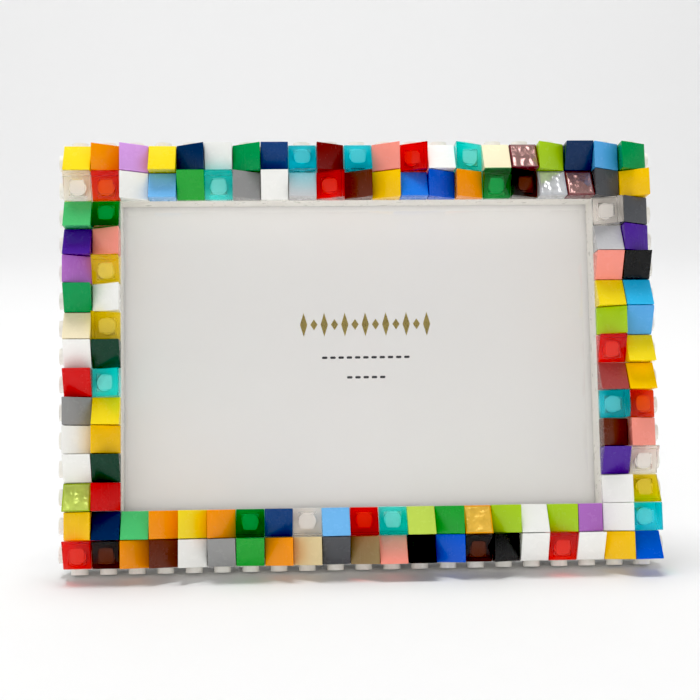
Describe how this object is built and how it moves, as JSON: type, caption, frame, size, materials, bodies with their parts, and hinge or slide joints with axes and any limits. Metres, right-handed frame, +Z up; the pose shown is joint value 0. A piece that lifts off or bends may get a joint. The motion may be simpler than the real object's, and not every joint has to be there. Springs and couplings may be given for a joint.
{
  "type": "photo frame",
  "caption": "Leaning photo frame with a border of small coloured slope bricks pressed on studs round a recessed window, turn buttons and an easel leg behind.",
  "frame": {"origin": "on the table, under the middle of the frame standing on its side studs and its open leg", "axes": "+X to the right as seen from the front, +Y from the front to the leg behind, +Z up"},
  "size_m": [0.1714, 0.0602, 0.1208],
  "materials": {
    "frame_white": "glossy injection-moulded ABS",
    "rear_white": "satin injection-moulded ABS",
    "window": "clear acrylic sheet",
    "card": "smooth white coated card",
    "board": "black paper-covered board",
    "leg": "fine-textured black ABS",
    "zinc_steel": "bright zinc-plated steel",
    "button_plastic": "satin grey-white nylon",
    "yellow_abs": "glossy ABS",
    "golden_yellow_abs": "glossy ABS",
    "orange_abs": "glossy ABS",
    "lavender_abs": "glossy ABS",
    "orchid_abs": "glossy ABS",
    "navy_abs": "glossy ABS",
    "dark_blue_abs": "glossy ABS",
    "white_abs": "glossy ABS",
    "green_abs": "glossy ABS",
    "bright_green_abs": "glossy ABS",
    "mint_green_abs": "glossy ABS",
    "dark_green_abs": "glossy ABS",
    "dark_red_abs": "glossy ABS",
    "red_abs": "glossy ABS",
    "salmon_abs": "glossy ABS",
    "cream_abs": "glossy ABS",
    "tan_abs": "glossy ABS",
    "dark_tan_abs": "glossy ABS",
    "lime_abs": "glossy ABS",
    "light_lime_abs": "glossy ABS",
    "medium_blue_abs": "glossy ABS",
    "sky_blue_abs": "glossy ABS",
    "azure_abs": "glossy ABS",
    "royal_blue_abs": "glossy ABS",
    "bright_blue_abs": "glossy ABS",
    "grey_abs": "glossy ABS",
    "pale_grey_abs": "glossy ABS",
    "dark_grey_abs": "glossy ABS",
    "black_abs": "glossy ABS",
    "brown_abs": "glossy ABS",
    "purple_abs": "glossy ABS",
    "dark_rose_abs": "glossy ABS",
    "clear_abs": "transparent tinted polycarbonate",
    "clear_red_abs": "transparent tinted polycarbonate",
    "clear_orange_abs": "transparent tinted polycarbonate",
    "clear_yellow_abs": "transparent tinted polycarbonate",
    "clear_green_abs": "transparent tinted polycarbonate",
    "clear_blue_abs": "transparent tinted polycarbonate",
    "clear_turquoise_abs": "transparent tinted polycarbonate",
    "clear_brown_abs": "transparent tinted polycarbonate",
    "mirror_rose_abs": "metallic film with a slight ripple",
    "mirror_silver_abs": "metallic film with a slight ripple",
    "metallic_lime_abs": "metallic film with a slight ripple",
    "metallic_orange_abs": "metallic film with a slight ripple"
  },
  "bodies": {
    "frame_body": {"studded_frame": "frame_white", "rear_frame": "rear_white", "frame_screws": "zinc_steel", "window_pane": "window", "photo_card": "card", "back_board": "board", "hinge_bracket": "zinc_steel", "bracket_rivets": "zinc_steel", "hinge_pin": "zinc_steel", "button_screws": "zinc_steel", "yellow_slopes": "yellow_abs", "golden_yellow_slopes": "golden_yellow_abs", "orange_slopes": "orange_abs", "lavender_slopes": "lavender_abs", "orchid_slopes": "orchid_abs", "navy_slopes": "navy_abs", "dark_blue_slopes": "dark_blue_abs", "white_slopes": "white_abs", "green_slopes": "green_abs", "bright_green_slopes": "bright_green_abs", "mint_green_slopes": "mint_green_abs", "dark_green_slopes": "dark_green_abs", "dark_red_slopes": "dark_red_abs", "red_slopes": "red_abs", "salmon_slopes": "salmon_abs", "cream_slopes": "cream_abs", "tan_slopes": "tan_abs", "dark_tan_slopes": "dark_tan_abs", "lime_slopes": "lime_abs", "light_lime_slopes": "light_lime_abs", "medium_blue_slopes": "medium_blue_abs", "sky_blue_slopes": "sky_blue_abs", "azure_slopes": "azure_abs", "royal_blue_slopes": "royal_blue_abs", "bright_blue_slopes": "bright_blue_abs", "grey_slopes": "grey_abs", "pale_grey_slopes": "pale_grey_abs", "dark_grey_slopes": "dark_grey_abs", "black_slopes": "black_abs", "brown_slopes": "brown_abs", "purple_slopes": "purple_abs", "dark_rose_slopes": "dark_rose_abs", "clear_slopes": "clear_abs", "clear_red_slopes": "clear_red_abs", "clear_orange_slopes": "clear_orange_abs", "clear_yellow_slopes": "clear_yellow_abs", "clear_green_slopes": "clear_green_abs", "clear_blue_slopes": "clear_blue_abs", "clear_turquoise_slopes": "clear_turquoise_abs", "clear_brown_slopes": "clear_brown_abs", "mirror_rose_slopes": "mirror_rose_abs", "mirror_silver_slopes": "mirror_silver_abs", "metallic_lime_slopes": "metallic_lime_abs", "metallic_orange_slopes": "metallic_orange_abs"},
    "easel_leg": {"easel_leg": "leg"},
    "turn_button_top_left": {"turn_button_top_left": "button_plastic"},
    "turn_button_top_right": {"turn_button_top_right": "button_plastic"},
    "turn_button_bottom_left": {"turn_button_bottom_left": "button_plastic"},
    "turn_button_bottom_right": {"turn_button_bottom_right": "button_plastic"}
  },
  "joints": [
    {"name": "leg_fold", "type": "hinge", "parent": "frame_body", "child": "easel_leg", "pos_m": [0, 0.01206, 0.08061], "axis": [1, 0, 0], "range_deg": [-27, 0]},
    {"name": "turn_button_top_left_turn", "type": "hinge", "parent": "frame_body", "child": "turn_button_top_left", "pos_m": [-0.052, 0.01728, 0.11151], "axis": [0, 0.9659, -0.2588], "range_deg": [-90, 90]},
    {"name": "turn_button_top_right_turn", "type": "hinge", "parent": "frame_body", "child": "turn_button_top_right", "pos_m": [0.052, 0.01728, 0.11151], "axis": [0, 0.9659, -0.2588], "range_deg": [-90, 90]},
    {"name": "turn_button_bottom_left_turn", "type": "hinge", "parent": "frame_body", "child": "turn_button_bottom_left", "pos_m": [-0.052, -0.01129, 0.00487], "axis": [0, 0.9659, -0.2588], "range_deg": [-90, 90]},
    {"name": "turn_button_bottom_right_turn", "type": "hinge", "parent": "frame_body", "child": "turn_button_bottom_right", "pos_m": [0.052, -0.01129, 0.00487], "axis": [0, 0.9659, -0.2588], "range_deg": [-90, 90]}
  ]
}
